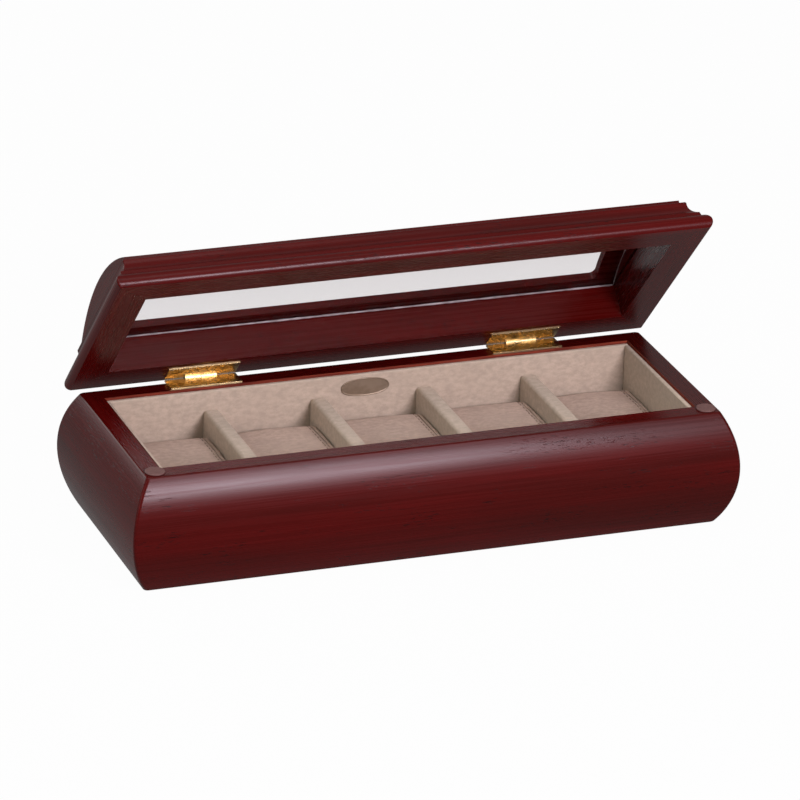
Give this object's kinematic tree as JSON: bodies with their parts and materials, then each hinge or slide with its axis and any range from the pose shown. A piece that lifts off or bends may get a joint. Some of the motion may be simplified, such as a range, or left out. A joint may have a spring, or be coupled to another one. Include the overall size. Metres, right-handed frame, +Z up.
{
  "type": "watch display box",
  "caption": "Long wooden watch display box with bombe sides, a lined tray of compartments with lift-out pillows, and a hinged moulded lid with an arched window.",
  "frame": {"origin": "centre of the case's flat underside, where the box stands", "axes": "+X to the right along the box, +Y to the hinged back, +Z up; the lid is drawn 47.5 degrees open, as in the picture"},
  "size_m": [0.3232, 0.1322, 0.1554],
  "materials": {
    "mahogany_wood": "satin lacquer over red mahogany stain",
    "plywood": "plain",
    "felt": "felt",
    "suede": "brushed suede cloth",
    "pillow_suede": "brushed suede cloth",
    "aged_brass": "aged, satin",
    "bumper_pad": "soft pad",
    "polished_brass": "polished",
    "clear_pane": "clear",
    "sealant": "glossy"
  },
  "bodies": {
    "case": {"case_front": "mahogany_wood", "case_back": "mahogany_wood", "case_left": "mahogany_wood", "case_right": "mahogany_wood", "bottom_board": "plywood", "bottom_felt": "felt", "lining_front": "suede", "lining_back": "suede", "lining_left": "suede", "lining_right": "suede", "lining_floor": "suede", "divider_1": "suede", "divider_2": "suede", "divider_3": "suede", "divider_4": "suede", "oval_plate": "aged_brass", "bumper_left": "bumper_pad", "bumper_right": "bumper_pad", "hinge_left_case_leaf": "polished_brass", "hinge_left_pin": "polished_brass", "hinge_right_case_leaf": "polished_brass", "hinge_right_pin": "polished_brass", "case_leaf_screws": "polished_brass"},
    "lid": {"lid_front_rail": "mahogany_wood", "lid_back_rail": "mahogany_wood", "lid_left_rail": "mahogany_wood", "lid_right_rail": "mahogany_wood", "crown_panel": "mahogany_wood", "crown_gable_left": "mahogany_wood", "crown_gable_right": "mahogany_wood", "window_pane": "clear_pane", "pane_seal": "sealant", "hinge_left_lid_leaf": "polished_brass", "hinge_right_lid_leaf": "polished_brass", "lid_leaf_screws": "polished_brass"},
    "pillow_1": {"pillow_1": "pillow_suede"},
    "pillow_2": {"pillow_2": "pillow_suede"},
    "pillow_3": {"pillow_3": "pillow_suede"},
    "pillow_4": {"pillow_4": "pillow_suede"},
    "pillow_5": {"pillow_5": "pillow_suede"}
  },
  "joints": [
    {"name": "lid_hinge", "type": "hinge", "parent": "case", "child": "lid", "pos_m": [0, 0.058, 0.06155], "axis": [-1, 0, 0], "range_deg": [-47.5, 47.5]},
    {"name": "pillow_1_lift", "type": "slide", "parent": "case", "child": "pillow_1", "axis": [0, 0, 1], "range_m": [0, 0.055]},
    {"name": "pillow_2_lift", "type": "slide", "parent": "case", "child": "pillow_2", "axis": [0, 0, 1], "range_m": [0, 0.055]},
    {"name": "pillow_3_lift", "type": "slide", "parent": "case", "child": "pillow_3", "axis": [0, 0, 1], "range_m": [0, 0.055]},
    {"name": "pillow_4_lift", "type": "slide", "parent": "case", "child": "pillow_4", "axis": [0, 0, 1], "range_m": [0, 0.055]},
    {"name": "pillow_5_lift", "type": "slide", "parent": "case", "child": "pillow_5", "axis": [0, 0, 1], "range_m": [0, 0.055]}
  ]
}
